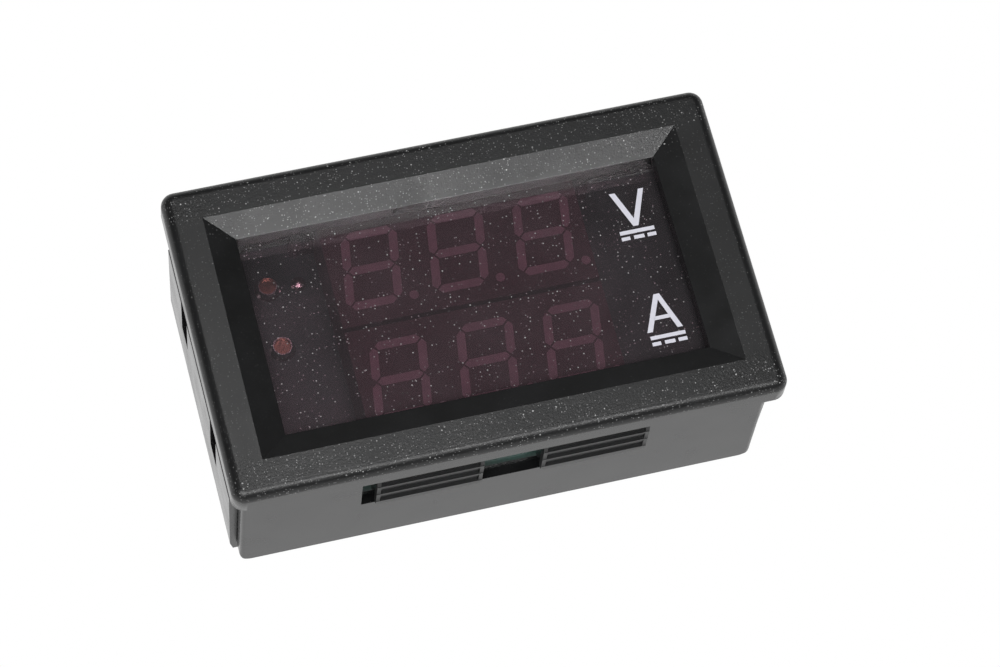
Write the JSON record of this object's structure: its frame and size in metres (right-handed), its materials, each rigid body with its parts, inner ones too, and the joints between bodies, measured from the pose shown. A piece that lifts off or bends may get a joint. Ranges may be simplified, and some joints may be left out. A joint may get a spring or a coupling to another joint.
{
  "type": "digital panel meter",
  "caption": "Snap-in panel meter with two rows of red seven-segment digits behind a smoked window, on one circuit board with plug headers at its rear.",
  "frame": {"origin": "centre of the flange's rear face, which seats on the front of the panel", "axes": "+Z points out of the display towards the reader, +X to the reader's right, +Y to the top of the digits"},
  "size_m": [0.048, 0.029, 0.0213],
  "materials": {
    "housing_plastic": "black moulded plastic, fine spark texture on the bezel",
    "smoked_window": "smoked clear acrylic, glossy",
    "display_shell": "dark maroon moulded plastic",
    "display_resin": "pinkish cast epoxy, unlit segments",
    "tinned_leads": "tin-plated metal",
    "board_laminate": "green solder mask over glass-epoxy laminate",
    "header_nylon": "off-white nylon",
    "header_pins": "tinned brass",
    "shunt_wire": "bare resistance wire, dull copper colour",
    "trimmer_case": "pale ceramic",
    "trimmer_disc": "plated brass",
    "chip_epoxy": "black moulding compound",
    "tantalum_resin": "yellow moulding compound",
    "resistor_glaze": "black glaze",
    "capacitor_ceramic": "tan ceramic",
    "solder": "bright solder"
  },
  "bodies": {
    "meter": {"housing": "housing_plastic", "window": "smoked_window", "upper_display_shell": "display_shell", "upper_display_segments": "display_resin", "upper_display_pins": "tinned_leads", "lower_display_shell": "display_shell", "lower_display_segments": "display_resin", "lower_display_pins": "tinned_leads", "circuit_board": "board_laminate", "current_header": "header_nylon", "current_pins": "header_pins", "supply_header": "header_nylon", "supply_pins": "header_pins", "shunt": "shunt_wire", "voltage_trimmer": "trimmer_case", "current_trimmer": "trimmer_case", "controller_chip": "chip_epoxy", "controller_leads": "tinned_leads", "amplifier_chip": "chip_epoxy", "amplifier_leads": "tinned_leads", "regulator": "chip_epoxy", "regulator_leads": "tinned_leads", "diode": "chip_epoxy", "diode_leads": "tinned_leads", "tantalum_capacitor": "tantalum_resin", "capacitor_leads": "tinned_leads", "chip_resistors": "resistor_glaze", "resistor_ends": "tinned_leads", "chip_capacitors": "capacitor_ceramic", "capacitor_ends": "tinned_leads", "solder_joints": "solder"},
    "voltage_screw": {"voltage_trimmer_screw": "trimmer_disc"},
    "current_screw": {"current_trimmer_screw": "trimmer_disc"}
  },
  "joints": [
    {"name": "voltage_trim", "type": "hinge", "parent": "meter", "child": "voltage_screw", "pos_m": [-0.00335, -0.00525, -0.0097], "axis": [0, 0, -1], "range_deg": [-115, 115]},
    {"name": "current_trim", "type": "hinge", "parent": "meter", "child": "current_screw", "pos_m": [0.00365, -0.00525, -0.0097], "axis": [0, 0, -1], "range_deg": [-115, 115]}
  ]
}
